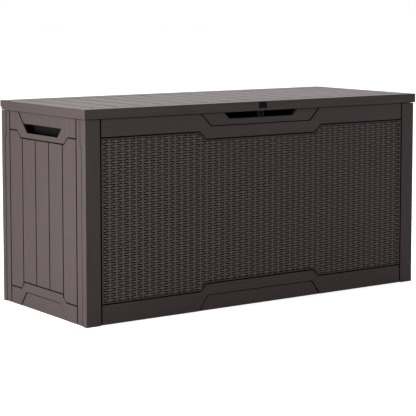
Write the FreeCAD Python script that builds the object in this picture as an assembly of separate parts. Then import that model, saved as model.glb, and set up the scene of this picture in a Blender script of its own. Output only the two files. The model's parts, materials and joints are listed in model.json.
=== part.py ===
import FreeCAD, Part
import math
import os

# Deck storage box of moulded resin: four corner posts, four wall panels, a two-piece floor and a hollow
# lid that swings on three rear hinges, held open by two gas struts.  Millimetres, +Z up.  The origin is on
# the ground under the middle of the box; +X runs along its length and -Y is the front.

Vector = FreeCAD.Vector
X_AXIS = Vector(1, 0, 0)
Y_AXIS = Vector(0, 1, 0)
Z_AXIS = Vector(0, 0, 1)

# ---------------------------------------------------------------- driving dimensions
LENGTH = 1164.0
DEPTH = 468.0
HEIGHT = 575.0
LID_HEIGHT = 26.0
LID_OVERHANG = 4.0            # past the walls at the front and at both ends
SLIT = 0.3                    # clearance between neighbouring pieces

# outer faces of the walls
END_X = LENGTH / 2 - LID_OVERHANG
FRONT_Y = -DEPTH / 2 + LID_OVERHANG
REAR_Y = DEPTH / 2
MIDDLE_Y = (FRONT_Y + REAR_Y) / 2
SKIRT_BOTTOM = HEIGHT - LID_HEIGHT
WALL_TOP = SKIRT_BOTTOM - 2.0

# corner posts: L-shaped, with a channel behind each leg that takes the edge of a panel
POST_SKIN = 4.0
POST_FRONT_LEG = 45.5
POST_SIDE_LEG = 19.0
POST_SIDE_LEG_TOP = 25.0      # the side leg is wider over the top of the post
POST_TAB_HEIGHT = 72.0
POST_INNER = 16.0             # outer face to the inner wall of the channel
POST_INNER_LEG_X = 44.0
POST_INNER_LEG_Y = 36.0
POST_WEB_X = 22.0
POST_CORNER_R = 2.5

# wall panels: a skin stiffened by a border and ribs on its inner side
PANEL_INSET = 1.0             # outer face of a panel, behind the faces of the posts
PANEL_SKIN = 3.8
FRONT_SKIN = 5.2
TONGUE_OUT = 4.3              # tongue faces, behind the faces of the posts
TONGUE_IN = 15.7
PANEL_BOTTOM = 1.0
BORDER = 34.0
RIB = 3.0
SEAM = 5.0                    # open groove between a post and the front or back panel
SIDE_SEAM = 1.8
GROOVE_DEPTH = 2.8
RAIN_LIP = 11.0               # the inner part of a wall stands this far above its outer part
LIP_THICK = 4.0

# front panel
FRONT_GROOVE = 4.0
FIELD_TOP = 498.5
FIELD_TOP_DIP = 477.0
FIELD_TOP_X = (190.5, 214.0)
FIELD_FOOT = 55.4
FIELD_FOOT_RISE = 75.4
FIELD_FOOT_X = (188.0, 210.0)
FIELD_BORDER = 5.5            # from the middle of the outline groove to the sunk, woven field
FIELD_DEPTH = 3.0
PULL_RECESS_DEPTH = 1.6
PULL_RECESS_X = (175.0, 212.0)
PULL_RECESS_FOOT = 511.4
PULL_X = (112.0, 132.0)       # half-lengths of the finger opening at its foot and at its top
PULL_FOOT = 530.0
FOOT_RECESS_DEPTH = 1.2
OUTLINE = (2.4, 3.0)          # width and depth of the groove that outlines a recess
FRONT_FOOT_RECESS_X = (218.0, 186.0)
FOOT_RECESS_TOP = 44.0

# side panels, measured along the wall from its middle
SIDE_EDGE_GROOVE = 184.0
SIDE_GROOVE = 5.0
SIDE_BAND = 4.0
SLAT_GROOVE = 4.5
SLAT_PITCH = 74.2
HANDLE_FRAME_Z = 495.0
HANDLE_FRAME_DIP = 475.4
HANDLE_FRAME_Y = (119.0, 139.7)
HANDLE_RECESS_Y = 137.0
HAND_HOLE_Z = (491.0, 516.0)
HAND_HOLE_Y = (85.5, 107.7)
SIDE_FOOT_Z = 50.0
SIDE_FOOT_RISE = 70.4
SIDE_FOOT_Y = (107.5, 124.0)
SIDE_FOOT_RECESS_Y = (131.0, 96.0)

# hand-hold cups
CUP_WALL = 2.5
CUP_Y = 112.0
CUP_Z = (487.0, 544.0)
CUP_BACK_X = 544.0

# back panel
BACK_BOARD_PITCH = 88.0
BACK_BOARD_GROOVES = 11

# floor
FLOOR_BOTTOM = 12.3
FLOOR_THICK = 4.0
FLOOR_LAP = 20.0
FLOOR_GROOVE_Z = (FLOOR_BOTTOM - SLIT, FLOOR_BOTTOM + FLOOR_THICK + SLIT)
FLOOR_TONGUE = 2.5            # the floor's edges reach this far into grooves in the walls
FLOOR_EDGE = 6.0              # from the walls to the floor's outermost ribs

# lid
LID_SKIN = 4.0
REAR_SKIRT_BOTTOM = 556.5
REAR_CUT = 9.0                # the end skirts are cut back this far at the rear corners
BOARD_PITCH = 74.4
BOARD_GROOVES = 15
BOARD_GROOVE = 5.0
BOARD_GROOVE_DEPTH = 2.2
RAIL_WIDTH = 55.0
LINER_BOTTOM = 552.3
LINER_THICK = 3.0
LINER_X = 566.0
LINER_FRONT_Y = -214.0
LINER_REAR_Y = 221.0
BADGE = (28.0, 18.0, 1.0)
BADGE_Z = 564.0

# hinges: the axis runs along X under the rear skirt of the lid
HINGE_Y = 228.0
HINGE_Z = 548.5
HINGE_X = (-380.0, 0.0, 380.0)
BARREL_R = 6.0
PIN_R = 2.5
RUNNING_FIT = 0.05
LID_BARREL = 25.0
BODY_BARREL = 15.0
BARREL_GAP = 0.5
LEAF_THICK = 2.8

# gas struts: both pivots lie on one circle about the hinge axis, so that a strut always turns through half
# of the lid's angle
STRUT_ARM = 200.0
STRUT_CLOSED_ANGLE = 75.0
STRUT_LID_DROP = 10.0
STRUT_X = 530.0
STUD_R = 4.0
SOCKET_R = 7.5
SOCKET_WIDTH = 11.0
TUBE_R = 7.0
TUBE_BORE = 6.0
TUBE_START = 18.0             # from the lid pivot to the tube's closed end
TUBE_LENGTH = 192.0
GLAND_LENGTH = 8.0
ROD_R = 3.0
ROD_START = 14.0
ROD_END = 205.0
PISTON_LENGTH = 9.0

# padlock hasp
LOCK_Z = 540.0
LOCK_HOLE_R = 4.25
TAB_WIDTH = 20.0
TAB_THICK = 3.0
HASP_Y = -224.5               # front face of the lid's tab
STAPLE_Y = -220.5             # front face of the wall's tab

# screws
SCREW_R = 2.0
HEAD_R = 4.0
HEAD_HEIGHT = 2.0
PILOT_R = 2.05
HOLE_R = 2.3


# ---------------------------------------------------------------- helpers
def block(x0, x1, y0, y1, z0, z1):
    return Part.makeBox(x1 - x0, y1 - y0, z1 - z0, Vector(x0, y0, z0))


def join(shapes):
    return shapes[0].fuse(shapes[1:]).removeSplitter() if len(shapes) > 1 else shapes[0]


def cut(shape, tools):
    return shape.cut(Part.makeCompound(tools))


def rod(base, direction, radius, length):
    return Part.makeCylinder(radius, length, base, direction)


def mirror_x(shape):
    return shape.mirror(Vector(0, 0, 0), X_AXIS)


def mirror_y(shape):
    return shape.mirror(Vector(0, MIDDLE_Y, 0), Y_AXIS)


def prism(points, direction):
    """The closed polygon through the points, pushed along the direction."""
    return Part.Face(Part.makePolygon(points + points[:1])).extrude(direction)


def front_prism(outline, y0, y1):
    """An (x, z) outline pushed from y0 to y1."""
    return prism([Vector(x, y0, z) for x, z in outline], Vector(0, y1 - y0, 0))


def side_prism(outline, x0, x1):
    """A (y, z) outline, y from the middle of the side wall, pushed from x0 to x1."""
    return prism([Vector(x0, MIDDLE_Y + y, z) for y, z in outline], Vector(x1 - x0, 0, 0))


def trapezoid(foot, top, z0, z1):
    return [(-foot, z0), (foot, z0), (top, z1), (-top, z1)]


def stepped_band(outer, inner, inner_x, outer_x, reach, width):
    """A groove that runs level at height outer, and at height inner over the middle."""
    half = width / 2
    line = [(-reach, outer), (-outer_x, outer), (-inner_x, inner), (inner_x, inner), (outer_x, outer),
            (reach, outer)]
    upper = [(x, z + half) for x, z in line]
    lower = [(x, z - half) for x, z in reversed(line)]
    return upper + lower


def screw(head_seat, direction, length, head_r=HEAD_R):
    """A pan-head screw whose head stands on head_seat, against the direction."""
    shank = rod(head_seat, direction, SCREW_R, length)
    head = rod(head_seat, direction * -1, head_r, HEAD_HEIGHT)
    slot = Part.makeBox(head_r * 1.2, 0.8, 0.9, Vector(-head_r * 0.6, -0.4, HEAD_HEIGHT - 0.9))
    cross = slot.fuse(slot.rotated(Vector(0, 0, 0), Z_AXIS, 90))
    cross.Placement = FreeCAD.Placement(head_seat, FreeCAD.Rotation(Z_AXIS, direction * -1))
    return shank.fuse(head).removeSplitter().cut(cross)


def pilot(head_seat, direction, length, radius=PILOT_R):
    return rod(head_seat, direction, radius, length)


def evenly(count, pitch, middle=0.0):
    return [middle + (i - (count - 1) / 2) * pitch for i in range(count)]


def save(name, shapes):
    shape = Part.makeCompound(shapes) if isinstance(shapes, list) else shapes
    shape.exportStep("parts/" + name + ".step")


# ---------------------------------------------------------------- corner posts
def corner_post():
    """The front left post."""
    def plan(x0, x1, y0, y1, z0=0.0, z1=WALL_TOP):
        return block(-END_X + x0, -END_X + x1, FRONT_Y + y0, FRONT_Y + y1, z0, z1)

    inner_face = POST_INNER + POST_SKIN
    tab_foot = SKIRT_BOTTOM - POST_TAB_HEIGHT
    pieces = [
        plan(0, POST_FRONT_LEG, 0, POST_SKIN),
        plan(0, POST_SKIN, 0, POST_SIDE_LEG),
        plan(0, POST_SKIN, 0, POST_SIDE_LEG_TOP, tab_foot),
        plan(POST_WEB_X, POST_WEB_X + POST_SKIN, 0, inner_face),
        plan(0, inner_face, POST_INNER, inner_face, 0, WALL_TOP).cut(
            plan(0, POST_SKIN + 1.2, POST_SIDE_LEG, inner_face)),
        plan(POST_INNER, POST_INNER_LEG_X, POST_INNER, inner_face),
        plan(POST_INNER, inner_face, POST_INNER, POST_INNER_LEG_Y),
        plan(0, POST_WEB_X, 0, POST_INNER, 0, POST_SKIN),
        plan(0, POST_WEB_X, 0, POST_INNER, WALL_TOP - POST_SKIN),
    ]
    post = join(pieces)
    corner = [edge for edge in post.Edges if edge.BoundBox.ZLength > WALL_TOP - 1
              and abs(edge.BoundBox.XMin + END_X) < 0.01 and abs(edge.BoundBox.YMin - FRONT_Y) < 0.01]
    return post.makeFillet(POST_CORNER_R, corner)


def corner_screw_seats():
    """Head seats and directions of the screws from the inner walls of the posts into the panels."""
    seats = []
    depth = POST_INNER + POST_SKIN
    for z in (70.0, 275.0, 480.0):
        for sign_x in (-1, 1):
            x = sign_x * (END_X - 36.0)
            seats.append((Vector(x, FRONT_Y + depth, z), Vector(0, -1, 0)))
            seats.append((Vector(x, REAR_Y - depth, z), Vector(0, 1, 0)))
            x = sign_x * (END_X - depth)
            seats.append((Vector(x, FRONT_Y + 29.0, z), Vector(sign_x, 0, 0)))
            seats.append((Vector(x, REAR_Y - 29.0, z), Vector(sign_x, 0, 0)))
    return seats


# ---------------------------------------------------------------- wall panels
def long_wall_blank(skin, pull_opening):
    """The front wall before its grooves: skin, tongue border, ribs and rain lip."""
    face = FRONT_Y + PANEL_INSET
    skin_back = face + skin
    tongue_out = FRONT_Y + TONGUE_OUT
    tongue_in = FRONT_Y + TONGUE_IN
    tongue_x = END_X - POST_WEB_X - POST_SKIN - SLIT
    field_x = END_X - POST_FRONT_LEG - SEAM
    top_rib = PULL_FOOT - BORDER if pull_opening else WALL_TOP - BORDER
    pieces = [
        block(-field_x, field_x, face, skin_back, PANEL_BOTTOM, WALL_TOP),
        block(-field_x, field_x, tongue_out, tongue_in, PANEL_BOTTOM, BORDER),
        block(-field_x, field_x, tongue_out, tongue_in, top_rib, WALL_TOP),
        block(-field_x, field_x, tongue_out, tongue_out + LIP_THICK, WALL_TOP - 1, WALL_TOP + RAIN_LIP),
    ]
    for sign in (-1, 1):
        low, high = sorted((sign * (field_x - 12.0), sign * tongue_x))
        pieces.append(block(low, high, tongue_out, tongue_in, PANEL_BOTTOM, WALL_TOP))
    for x in evenly(7, 140.0):
        pieces.append(block(x - RIB / 2, x + RIB / 2, skin_back - 1, tongue_in, BORDER - 1, top_rib + 1))
    for z in (190.0, 345.0):
        pieces.append(block(-field_x, field_x, skin_back - 1, tongue_in, z - RIB / 2, z + RIB / 2))
    floor_groove = block(-END_X, END_X, tongue_in - FLOOR_TONGUE - SLIT, tongue_in + 1, *FLOOR_GROOVE_Z)
    return join(pieces).cut(floor_groove)


def woven_field():
    """The outline of the sunk field inside the two stepped grooves of the front."""
    reach = END_X - POST_FRONT_LEG - SEAM - FIELD_BORDER
    top, top_dip = FIELD_TOP - FIELD_BORDER, FIELD_TOP_DIP - FIELD_BORDER
    foot, foot_rise = FIELD_FOOT + FIELD_BORDER, FIELD_FOOT_RISE + FIELD_BORDER
    right = [(FIELD_FOOT_X[0], foot_rise), (FIELD_FOOT_X[1], foot), (reach, foot), (reach, top),
             (FIELD_TOP_X[1], top), (FIELD_TOP_X[0], top_dip)]
    return right + [(-x, z) for x, z in reversed(right)]


def recess(push, foot, top, z0, z1, out, face, depth):
    """A shallow trapezoidal recess and the deeper groove that outlines it; push places both on a wall."""
    width, groove_depth = OUTLINE
    rise = width if z0 > 0 else -width
    outer = trapezoid(foot, top, z0, z1)
    inner = trapezoid(foot - width, top - width, z0 + rise, z1 + rise)
    groove = push(outer, out, face + groove_depth).cut(push(inner, out, face + groove_depth))
    return [push(outer, out, face + depth), groove]


def front_panel():
    face = FRONT_Y + PANEL_INSET
    panel = long_wall_blank(FRONT_SKIN, True)
    staple_pad = block(-24, 24, face + 1, FRONT_Y + TONGUE_IN, 480, PULL_FOOT)
    panel = panel.fuse(staple_pad).removeSplitter()
    reach = END_X - POST_FRONT_LEG
    out = face - 1
    tools = [
        front_prism(stepped_band(FIELD_TOP, FIELD_TOP_DIP, *FIELD_TOP_X, reach, FRONT_GROOVE),
                    out, face + GROOVE_DEPTH),
        front_prism(stepped_band(FIELD_FOOT, FIELD_FOOT_RISE, *FIELD_FOOT_X, reach, FRONT_GROOVE),
                    out, face + GROOVE_DEPTH),
        front_prism(woven_field(), out, face + FIELD_DEPTH),
        front_prism(trapezoid(*PULL_X, PULL_FOOT, SKIRT_BOTTOM), out, FRONT_Y + TONGUE_IN + 1),
        block(-PULL_X[1] - 2, PULL_X[1] + 2, out, FRONT_Y + TONGUE_IN + 1, WALL_TOP - 0.01, WALL_TOP + 20),
    ]
    tools += recess(front_prism, *PULL_RECESS_X, PULL_RECESS_FOOT, WALL_TOP + 1, out, face, PULL_RECESS_DEPTH)
    tools += recess(front_prism, *FRONT_FOOT_RECESS_X, 0, FOOT_RECESS_TOP, out, face, FOOT_RECESS_DEPTH)
    tools += [pilot(seat, way, 14.0) for seat, way in corner_screw_seats() if way.y < 0]
    tools += [pilot(seat, way, 12.0) for seat, way in staple_screw_seats()]
    return cut(panel, tools)


def back_panel():
    face = REAR_Y - PANEL_INSET
    panel = mirror_y(long_wall_blank(PANEL_SKIN, False))
    out = face + 1
    tools = [block(x - FRONT_GROOVE / 2, x + FRONT_GROOVE / 2, face - GROOVE_DEPTH, out, BORDER, FIELD_TOP)
             for x in evenly(BACK_BOARD_GROOVES, BACK_BOARD_PITCH)]
    reach = END_X - POST_FRONT_LEG - SEAM - 20
    for z in (BORDER, FIELD_TOP):
        tools.append(block(-reach, reach, face - GROOVE_DEPTH, out,
                           z - FRONT_GROOVE / 2, z + FRONT_GROOVE / 2))
    half_pocket = LID_BARREL / 2 + BARREL_GAP + BODY_BARREL + 3
    for x in HINGE_X:
        tools.append(block(x - half_pocket, x + half_pocket, REAR_Y - TONGUE_IN - 1, out,
                           HINGE_Z - BARREL_R - 0.8, WALL_TOP + RAIN_LIP + 1))
    low_lip = HINGE_Z + 2.0
    tools.append(block(-END_X, END_X, REAR_Y - TONGUE_IN - 1, out, low_lip, WALL_TOP + RAIN_LIP + 1))
    tools += [pilot(seat, way, 14.0) for seat, way in corner_screw_seats() if way.y > 0]
    tools += [pilot(seat, way, 12.0) for seat, way in hinge_bracket_screw_seats()]
    return cut(panel, tools)


def side_panel():
    """The left wall."""
    face = -END_X + PANEL_INSET
    skin_back = face + PANEL_SKIN
    tongue_out = -END_X + TONGUE_OUT
    tongue_in = -END_X + TONGUE_IN
    half_wall = (REAR_Y - FRONT_Y) / 2
    tongue_y = half_wall - POST_INNER - POST_SKIN - SLIT
    field_y = half_wall - POST_SIDE_LEG - SIDE_SEAM
    upper_field_y = half_wall - POST_SIDE_LEG_TOP - SIDE_SEAM
    tab_foot = SKIRT_BOTTOM - POST_TAB_HEIGHT - SIDE_SEAM
    frame_foot = CUP_Z[0] - 12.0

    def wall(x0, x1, half_y, z0, z1):
        return block(x0, x1, MIDDLE_Y - half_y, MIDDLE_Y + half_y, z0, z1)

    pieces = [
        wall(face, skin_back, field_y, PANEL_BOTTOM, tab_foot),
        wall(face, skin_back, upper_field_y, tab_foot, WALL_TOP),
        wall(tongue_out, tongue_in, tongue_y, PANEL_BOTTOM, BORDER),
        wall(tongue_out, tongue_in, tongue_y, frame_foot, WALL_TOP),
        wall(tongue_out, tongue_out + LIP_THICK, tongue_y - 8, WALL_TOP - 1, WALL_TOP + RAIN_LIP),
        block(tongue_out, tongue_in, STRUT_FOOT.y - 32, MIDDLE_Y + tongue_y, STRUT_FOOT.z - 26,
              STRUT_FOOT.z + 26),
    ]
    for sign in (-1, 1):
        low, high = sorted((MIDDLE_Y + sign * (tongue_y - 22.0), MIDDLE_Y + sign * tongue_y))
        pieces.append(block(tongue_out, tongue_in, low, high, PANEL_BOTTOM, WALL_TOP))
    for y in evenly(3, SLAT_PITCH, MIDDLE_Y):
        pieces.append(block(skin_back - 1, tongue_in, y - RIB / 2, y + RIB / 2, BORDER - 1, frame_foot + 1))
    for z in (190.0, 310.0):
        pieces.append(wall(skin_back - 1, tongue_in, tongue_y - 1, z - RIB / 2, z + RIB / 2))
    panel = join(pieces)

    out = face - 1
    groove = face + GROOVE_DEPTH
    reach = SIDE_EDGE_GROOVE
    handle_slope = [(-HAND_HOLE_Y[0], HAND_HOLE_Z[0]), (HAND_HOLE_Y[0], HAND_HOLE_Z[0]),
                    (HANDLE_RECESS_Y, SKIRT_BOTTOM), (-HANDLE_RECESS_Y, SKIRT_BOTTOM)]
    tools = [
        side_prism(stepped_band(HANDLE_FRAME_Z, HANDLE_FRAME_DIP, *HANDLE_FRAME_Y, reach, SIDE_BAND),
                   out, groove),
        side_prism(stepped_band(SIDE_FOOT_Z, SIDE_FOOT_RISE, *SIDE_FOOT_Y, reach, SIDE_BAND), out, groove),
        side_prism(handle_slope, out, groove),
        side_prism(trapezoid(*HAND_HOLE_Y, *HAND_HOLE_Z), out, skin_back + 5),
        wall(skin_back, tongue_in + 1, CUP_Y, *CUP_Z),
        wall(tongue_in - FLOOR_TONGUE - SLIT, tongue_in + 1, half_wall, *FLOOR_GROOVE_Z),
    ]
    tools += recess(side_prism, *SIDE_FOOT_RECESS_Y, 0, FOOT_RECESS_TOP, out, face, FOOT_RECESS_DEPTH)
    for sign in (-1, 1):
        y = MIDDLE_Y + sign * SIDE_EDGE_GROOVE
        tools.append(block(out, groove, y - SIDE_GROOVE / 2, y + SIDE_GROOVE / 2, 0, WALL_TOP + 1))
    for y in evenly(4, SLAT_PITCH):
        foot = SIDE_FOOT_RISE if abs(y) < SIDE_FOOT_Y[0] else (SIDE_FOOT_Z + SIDE_FOOT_RISE) / 2
        tools.append(block(out, groove, MIDDLE_Y + y - SLAT_GROOVE / 2, MIDDLE_Y + y + SLAT_GROOVE / 2,
                           foot, HANDLE_FRAME_DIP))
    tools += [pilot(seat, way, 14.0) for seat, way in corner_screw_seats() if way.x < 0]
    tools += [pilot(seat, way, 13.0) for seat, way in wall_bracket_screw_seats()]
    tools += [pilot(seat, way, 8.0) for seat, way in cup_screw_seats()]
    return cut(panel, tools)


def handle_cup():
    """The closed pocket behind the left hand hole."""
    inner_face = -END_X + TONGUE_IN
    flange = 8.0

    def pocket(x0, x1, grow):
        half = CUP_Y + grow
        return block(x0, x1, MIDDLE_Y - half, MIDDLE_Y + half, CUP_Z[0] - grow, CUP_Z[1] + grow)

    body = pocket(inner_face, -CUP_BACK_X + CUP_WALL, CUP_WALL)
    plate = block(inner_face, inner_face + CUP_WALL, MIDDLE_Y - CUP_Y - flange - CUP_WALL,
                  MIDDLE_Y + CUP_Y + flange + CUP_WALL, CUP_Z[0] - CUP_WALL, CUP_Z[1] + CUP_WALL)
    cup = join([body, plate]).cut(pocket(inner_face - 1, -CUP_BACK_X, 0))
    return cut(cup, [pilot(seat, way, 8.0, HOLE_R) for seat, way in cup_screw_seats()])


def cup_screw_seats():
    x = -END_X + TONGUE_IN + CUP_WALL
    return [(Vector(x, MIDDLE_Y + sign * (CUP_Y + 6.5), z), Vector(-1, 0, 0))
            for sign in (-1, 1) for z in (500.0, 532.0)]


# ---------------------------------------------------------------- floor
def floor_half(side):
    """The left (side -1) or right (side 1) half of the floor; the two lap over each other in the middle."""
    edge_x = END_X - TONGUE_IN + FLOOR_TONGUE
    front = FRONT_Y + TONGUE_IN - FLOOR_TONGUE
    rear = REAR_Y - TONGUE_IN + FLOOR_TONGUE
    middle = FLOOR_BOTTOM + FLOOR_THICK / 2
    top = FLOOR_BOTTOM + FLOOR_THICK
    lap = FLOOR_LAP / 2
    if side < 0:
        lap_piece = block(-lap, lap, front, rear, FLOOR_BOTTOM, middle)
    else:
        lap_piece = block(-lap, lap, front, rear, middle, top)
    low, high = sorted((side * edge_x, side * lap))
    plate = block(low, high, front, rear, FLOOR_BOTTOM, top)
    pieces = [plate, lap_piece]
    rib_front = front + FLOOR_TONGUE + FLOOR_EDGE
    rib_rear = rear - FLOOR_TONGUE - FLOOR_EDGE
    for x in evenly(5, 105.0, side * 290.0):
        pieces.append(block(x - RIB / 2, x + RIB / 2, rib_front, rib_rear, 0, FLOOR_BOTTOM + 1))
    low, high = sorted((side * 12.0, side * (edge_x - FLOOR_TONGUE - FLOOR_EDGE)))
    for y in evenly(4, 110.0, MIDDLE_Y):
        pieces.append(block(low, high, y - RIB / 2, y + RIB / 2, 0, FLOOR_BOTTOM + 1))
    post_x = END_X - POST_INNER_LEG_X - SLIT
    post_y = POST_INNER + POST_SKIN + SLIT
    leg_x = END_X - POST_INNER - POST_SKIN - SLIT
    leg_y = POST_INNER_LEG_Y + SLIT
    tools = []
    for y0, y1 in ((FRONT_Y, FRONT_Y + post_y), (REAR_Y - post_y, REAR_Y)):
        low, high = sorted((side * post_x, side * END_X))
        tools.append(block(low, high, y0, y1, 0, top + 1))
    for y0, y1 in ((FRONT_Y, FRONT_Y + leg_y), (REAR_Y - leg_y, REAR_Y)):
        low, high = sorted((side * leg_x, side * END_X))
        tools.append(block(low, high, y0, y1, 0, top + 1))
    hole = HOLE_R if side > 0 else PILOT_R
    tools += [pilot(seat, way, 6.0, hole) for seat, way in floor_screw_seats()]
    return cut(join(pieces), tools)


def floor_screw_seats():
    return [(Vector(0, y, FLOOR_BOTTOM + FLOOR_THICK), Vector(0, 0, -1)) for y in evenly(5, 90.0, MIDDLE_Y)]


# ---------------------------------------------------------------- lid
def lid_shell():
    half_x = LENGTH / 2
    half_y = DEPTH / 2
    outer = block(-half_x, half_x, -half_y, half_y, SKIRT_BOTTOM, HEIGHT)
    rims = [edge for edge in outer.Edges if edge.BoundBox.ZLength > 1]
    outer = outer.makeFillet(POST_CORNER_R, rims)
    inner = block(-half_x + LID_SKIN, half_x - LID_SKIN, -half_y + LID_SKIN, half_y - LID_SKIN,
                  SKIRT_BOTTOM - 1, HEIGHT - LID_SKIN)
    rear_cut = block(-half_x - 1, half_x + 1, half_y - REAR_CUT, half_y + 1, SKIRT_BOTTOM - 1,
                     REAR_SKIRT_BOTTOM)
    shell = outer.cut(inner).cut(rear_cut)
    bosses = []
    for seat, way in liner_screw_seats():
        bosses.append(rod(Vector(seat.x, seat.y, LINER_BOTTOM + LINER_THICK + SLIT), Z_AXIS, 5.0,
                          HEIGHT - LID_SKIN + 0.5 - LINER_BOTTOM - LINER_THICK - SLIT))
    shell = join([shell] + bosses)
    groove_foot = HEIGHT - BOARD_GROOVE_DEPTH
    board_y = half_y - RAIL_WIDTH
    tools = [block(x - BOARD_GROOVE / 2, x + BOARD_GROOVE / 2, -board_y, board_y, groove_foot, HEIGHT + 1)
             for x in evenly(BOARD_GROOVES, BOARD_PITCH)]
    for y in (-board_y, board_y):
        tools.append(block(-half_x - 1, half_x + 1, y - BOARD_GROOVE / 2, y + BOARD_GROOVE / 2,
                           groove_foot, HEIGHT + 1))
    width, height, depth = BADGE
    grow = SLIT
    tools.append(block(-width / 2 - grow, width / 2 + grow, -half_y - 1, -half_y + depth + 0.2,
                       BADGE_Z - height / 2 - grow, BADGE_Z + height / 2 + grow))
    tools += [pilot(seat, way, 16.0) for seat, way in liner_screw_seats()]
    return cut(shell, tools)


def badge_plate():
    width, height, depth = BADGE
    front = -DEPTH / 2 + 0.2
    plate = block(-width / 2, width / 2, front, front + depth - 0.1,
                  BADGE_Z - height / 2, BADGE_Z + height / 2)
    corners = [edge for edge in plate.Edges if edge.BoundBox.YLength > 0.5]
    return plate.makeFillet(1.5, corners)


def lid_liner():
    bottom = LINER_BOTTOM
    plate_top = bottom + LINER_THICK
    rib_top = HEIGHT - LID_SKIN - SLIT
    pieces = [block(-LINER_X, LINER_X, LINER_FRONT_Y, LINER_REAR_Y, bottom, plate_top)]
    for y in (LINER_FRONT_Y, LINER_REAR_Y - RIB):
        pieces.append(block(-LINER_X, LINER_X, y, y + RIB, bottom, rib_top))
    for sign in (-1, 1):
        low, high = sorted((sign * (LINER_X - RIB), sign * LINER_X))
        pieces.append(block(low, high, LINER_FRONT_Y, LINER_REAR_Y, bottom, rib_top))
    for x in evenly(8, 140.0):
        pieces.append(block(x - RIB / 2, x + RIB / 2, LINER_FRONT_Y, LINER_REAR_Y, bottom, rib_top))
    for y in (-75.0, 75.0):
        pieces.append(block(-LINER_X, LINER_X, y - RIB / 2, y + RIB / 2, bottom, rib_top))
    rest_foot = WALL_TOP + SLIT
    for x in (-300.0, 300.0):
        pieces.append(block(x - 15, x + 15, FRONT_Y + TONGUE_OUT + LIP_THICK + 5, LINER_FRONT_Y + 10,
                            rest_foot, bottom + 1))
    for sign in (-1, 1):
        low, high = sorted((sign * (END_X - TONGUE_IN + 0.5), sign * (LINER_X - 0.01)))
        pieces.append(block(low, high, -160, -130, rest_foot, bottom + 1))
    liner = join(pieces)
    seats = [(seat, way, HOLE_R) for seat, way in liner_screw_seats()]
    seats += [(seat, way, PILOT_R) for seat, way in lid_leaf_screw_seats() + hasp_screw_seats()
              + lid_bracket_screw_seats()]
    return cut(liner, [pilot(seat, way, 9.0, radius) for seat, way, radius in seats])


def liner_screw_seats():
    return [(Vector(x, y, LINER_BOTTOM), Vector(0, 0, 1))
            for x in evenly(4, 280.0) for y in (-150.0, 0.0, 150.0)]


# ---------------------------------------------------------------- hinges
def barrel(x0, length):
    return rod(Vector(x0, HINGE_Y, HINGE_Z), X_AXIS, BARREL_R, length)


def pin_bore(x0, length, radius):
    return rod(Vector(x0 - 1, HINGE_Y, HINGE_Z), X_AXIS, radius, length + 2)


def hinge_bracket(x):
    """The half of a hinge that is screwed to the inside of the back wall."""
    half = LID_BARREL / 2 + BARREL_GAP
    wall_face = REAR_Y - TONGUE_IN
    plate_front = wall_face - LEAF_THICK
    pieces = [block(x - half - BODY_BARREL, x + half + BODY_BARREL, plate_front, wall_face, 500.0,
                    HINGE_Z - BARREL_R)]
    for x0 in (x - half - BODY_BARREL, x + half):
        pieces.append(barrel(x0, BODY_BARREL))
        pieces.append(block(x0, x0 + BODY_BARREL, plate_front, HINGE_Y, HINGE_Z - BARREL_R,
                            HINGE_Z - BARREL_R + LEAF_THICK))
    tools = [pin_bore(x - 40, 80, PIN_R + 0.01)]
    tools += [pilot(seat, way, 6.0, HOLE_R) for seat, way in hinge_bracket_screw_seats()]
    return cut(join(pieces), tools)


def hinge_bracket_screw_seats():
    seat_y = REAR_Y - TONGUE_IN - LEAF_THICK
    return [(Vector(x + dx, seat_y, z), Vector(0, 1, 0))
            for x in HINGE_X for dx in (-18.0, 18.0) for z in (508.0, 528.0)]


def lid_hinge_leaf(x):
    """The half of a hinge that is screwed under the lid."""
    half = LID_BARREL / 2
    top = LINER_BOTTOM - 0.2
    leaf = join([
        barrel(x - half, LID_BARREL),
        block(x - half, x + half, 186.0, HINGE_Y, top - LEAF_THICK, top),
    ])
    tools = [pin_bore(x - 40, 80, PIN_R + RUNNING_FIT)]
    tools += [pilot(seat, way, 6.0, HOLE_R) for seat, way in lid_leaf_screw_seats()]
    return cut(leaf, tools)


def lid_leaf_screw_seats():
    return [(Vector(x, y, LINER_BOTTOM - 0.2 - LEAF_THICK), Vector(0, 0, 1))
            for x in HINGE_X for y in (192.0, 207.0)]


def hinge_pin(x):
    length = LID_BARREL + 2 * BARREL_GAP + 2 * BODY_BARREL
    pin = rod(Vector(x - length / 2, HINGE_Y, HINGE_Z), X_AXIS, PIN_R, length)
    head = rod(Vector(x - length / 2 - 1.5, HINGE_Y, HINGE_Z), X_AXIS, PIN_R + 1.2, 1.5)
    return join([pin, head])


# ---------------------------------------------------------------- padlock hasp
def hasp():
    """The tab that hangs from the lid into the finger opening."""
    half = TAB_WIDTH / 2
    top = LINER_BOTTOM - 0.2
    pieces = [
        block(-half, half, HASP_Y, HASP_Y + TAB_THICK, PULL_FOOT + 1.5, top),
        block(-half, half, HASP_Y, LINER_FRONT_Y + 24, top - LEAF_THICK, top),
    ]
    tools = [rod(Vector(0, HASP_Y - 1, LOCK_Z), Y_AXIS, LOCK_HOLE_R, TAB_THICK + 2)]
    tools += [pilot(seat, way, 6.0, HOLE_R) for seat, way in hasp_screw_seats()]
    return cut(join(pieces), tools)


def hasp_screw_seats():
    return [(Vector(x, LINER_FRONT_Y + 15, LINER_BOTTOM - 0.2 - LEAF_THICK), Vector(0, 0, 1))
            for x in (-5.0, 5.0)]


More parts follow.
